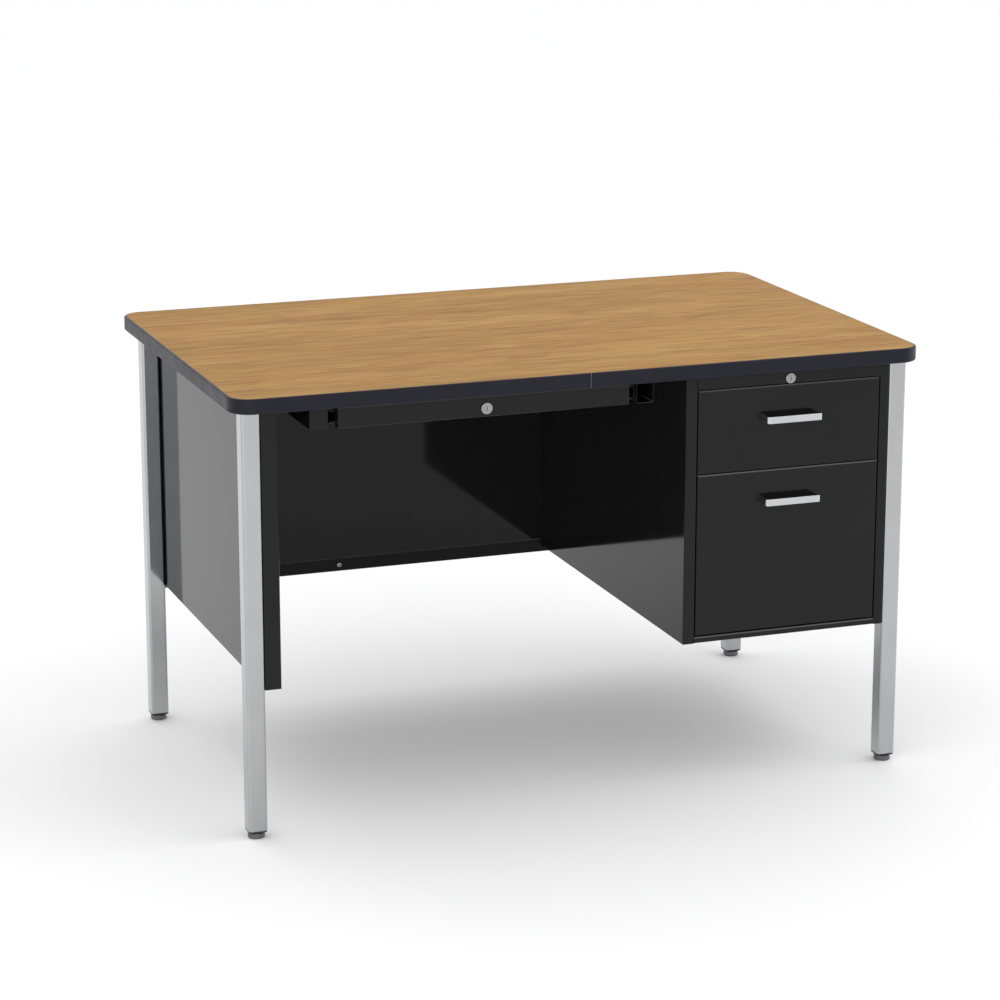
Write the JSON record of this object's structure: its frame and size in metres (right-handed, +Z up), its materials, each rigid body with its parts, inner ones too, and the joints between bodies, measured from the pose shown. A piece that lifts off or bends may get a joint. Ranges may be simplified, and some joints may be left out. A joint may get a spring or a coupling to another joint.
{
  "type": "teacher desk",
  "caption": "Single-pedestal steel teacher desk with a laminate top, chromed square legs, a centre drawer, and a locking box and file pedestal.",
  "frame": {"origin": "on the floor, under the centre of the worktop", "axes": "+X to the sitter's right along the worktop, +Y from the sitter towards the modesty panel, +Z up"},
  "size_m": [1.2192, 0.7629, 0.7493],
  "materials": {
    "laminate": "satin oak-grain laminate",
    "particleboard": "raw particleboard",
    "backing_sheet": "brown phenolic backing",
    "edge_band": "charcoal vinyl edge moulding, satin",
    "chrome_tube": "polished chrome plating",
    "foot_plastic": "black nylon",
    "glide_steel": "dark grey nylon base on a steel stem",
    "black_paint": "gloss black baked enamel",
    "zinc": "bright zinc plate",
    "slide_zinc": "clear zinc plated rolled steel",
    "black_steel": "black phosphate-coated rolled steel",
    "satin_chrome": "satin chrome",
    "lock_chrome": "bright nickel plate",
    "tray_plastic": "black moulded plastic",
    "guide_nylon": "natural nylon"
  },
  "bodies": {
    "root": {"top_core": "particleboard", "top_laminate": "laminate", "top_backer": "backing_sheet", "edge_band": "edge_band", "top_screws": "zinc", "leg_front_left": "chrome_tube", "leg_front_right": "chrome_tube", "leg_rear_left": "chrome_tube", "leg_rear_right": "chrome_tube", "leg_inserts": "foot_plastic", "leg_bolts": "zinc", "leg_nuts": "zinc", "left_end_panel": "black_paint", "modesty_panel": "black_paint", "modesty_rail": "black_paint", "modesty_screws": "lock_chrome", "pedestal_left_side": "black_paint", "pedestal_right_side": "black_paint", "pedestal_back": "black_paint", "pedestal_floor": "black_paint", "pedestal_bottom_rail": "black_paint", "pedestal_header": "black_paint", "pedestal_rear_rail": "black_paint", "slide_uprights": "slide_zinc", "box_slide_outer": "slide_zinc", "file_slide_outer": "slide_zinc", "pedestal_lock_housing": "lock_chrome", "lock_bar_guides": "guide_nylon", "centre_drawer_hangers": "black_paint", "centre_slide_rails": "black_steel", "centre_lock_strike": "zinc"},
    "centre_drawer": {"centre_drawer_front": "black_paint", "centre_drawer_body": "black_paint", "pencil_tray": "tray_plastic", "centre_slide_runners": "black_steel", "centre_lock_housing": "lock_chrome", "centre_lock_case": "zinc"},
    "centre_plug": {"centre_lock_plug": "lock_chrome"},
    "centre_bolt": {"centre_lock_bolt": "zinc"},
    "box_drawer": {"box_drawer_front": "black_paint", "box_drawer_body": "black_paint", "box_drawer_pull": "satin_chrome", "box_pull_screws": "zinc", "box_slide_inner": "slide_zinc"},
    "box_middles": {"box_slide_middle": "slide_zinc"},
    "file_drawer": {"file_drawer_front": "black_paint", "file_drawer_body": "black_paint", "file_drawer_pull": "satin_chrome", "file_pull_screws": "zinc", "file_hang_rails": "zinc", "file_slide_inner": "slide_zinc"},
    "file_middles": {"file_slide_middle": "slide_zinc"},
    "pedestal_plug": {"pedestal_lock_plug": "lock_chrome", "pedestal_lock_rod": "zinc"},
    "lock_bar": {"pedestal_lock_bar": "zinc"},
    "glide_fl": {"glide_front_left": "glide_steel"},
    "glide_fr": {"glide_front_right": "glide_steel"},
    "glide_rl": {"glide_rear_left": "glide_steel"},
    "glide_rr": {"glide_rear_right": "glide_steel"}
  },
  "joints": [
    {"name": "centre_drawer_slide", "type": "slide", "parent": "root", "child": "centre_drawer", "axis": [0, -1, 0], "range_m": [0, 0.3]},
    {"name": "centre_lock_turn", "type": "hinge", "parent": "centre_drawer", "child": "centre_plug", "pos_m": [-0.1744, -0.3569, 0.6987], "axis": [0, 1, 0], "range_deg": [0, 90]},
    {"name": "centre_bolt_rise", "type": "slide", "parent": "centre_drawer", "child": "centre_bolt", "axis": [0, 0, 1], "range_m": [0, 0.008]},
    {"name": "box_drawer_slide", "type": "slide", "parent": "root", "child": "box_drawer", "axis": [0, -1, 0], "range_m": [0, 0.56]},
    {"name": "box_middle_slide", "type": "slide", "parent": "root", "child": "box_middles", "axis": [0, -1, 0], "range_m": [0, 0.281]},
    {"name": "file_drawer_slide", "type": "slide", "parent": "root", "child": "file_drawer", "axis": [0, -1, 0], "range_m": [0, 0.56]},
    {"name": "file_middle_slide", "type": "slide", "parent": "root", "child": "file_middles", "axis": [0, -1, 0], "range_m": [0, 0.281]},
    {"name": "pedestal_lock_turn", "type": "hinge", "parent": "root", "child": "pedestal_plug", "pos_m": [0.3716, -0.3569, 0.7084], "axis": [0, 1, 0], "range_deg": [0, 90]},
    {"name": "lock_bar_drop", "type": "slide", "parent": "root", "child": "lock_bar", "axis": [0, 0, -1], "range_m": [0, 0.01]},
    {"name": "glide_fl_turn", "type": "hinge", "parent": "root", "child": "glide_fl", "pos_m": [-0.57427, -0.34103, 0], "axis": [0, 0, 1], "continuous": true},
    {"name": "glide_fr_turn", "type": "hinge", "parent": "root", "child": "glide_fr", "pos_m": [0.57427, -0.34103, 0], "axis": [0, 0, 1], "continuous": true},
    {"name": "glide_rl_turn", "type": "hinge", "parent": "root", "child": "glide_rl", "pos_m": [-0.57427, 0.31668, 0], "axis": [0, 0, 1], "continuous": true},
    {"name": "glide_rr_turn", "type": "hinge", "parent": "root", "child": "glide_rr", "pos_m": [0.57427, 0.31668, 0], "axis": [0, 0, 1], "continuous": true}
  ],
  "couplings": [
    {"joint": "box_middle_slide", "follows": "box_drawer_slide", "ratio": 0.5},
    {"joint": "file_middle_slide", "follows": "file_drawer_slide", "ratio": 0.5},
    {"joint": "centre_lock_turn", "follows": "centre_bolt_rise", "rad_per_m": 196.35},
    {"joint": "pedestal_lock_turn", "follows": "lock_bar_drop", "rad_per_m": 157.08}
  ]
}
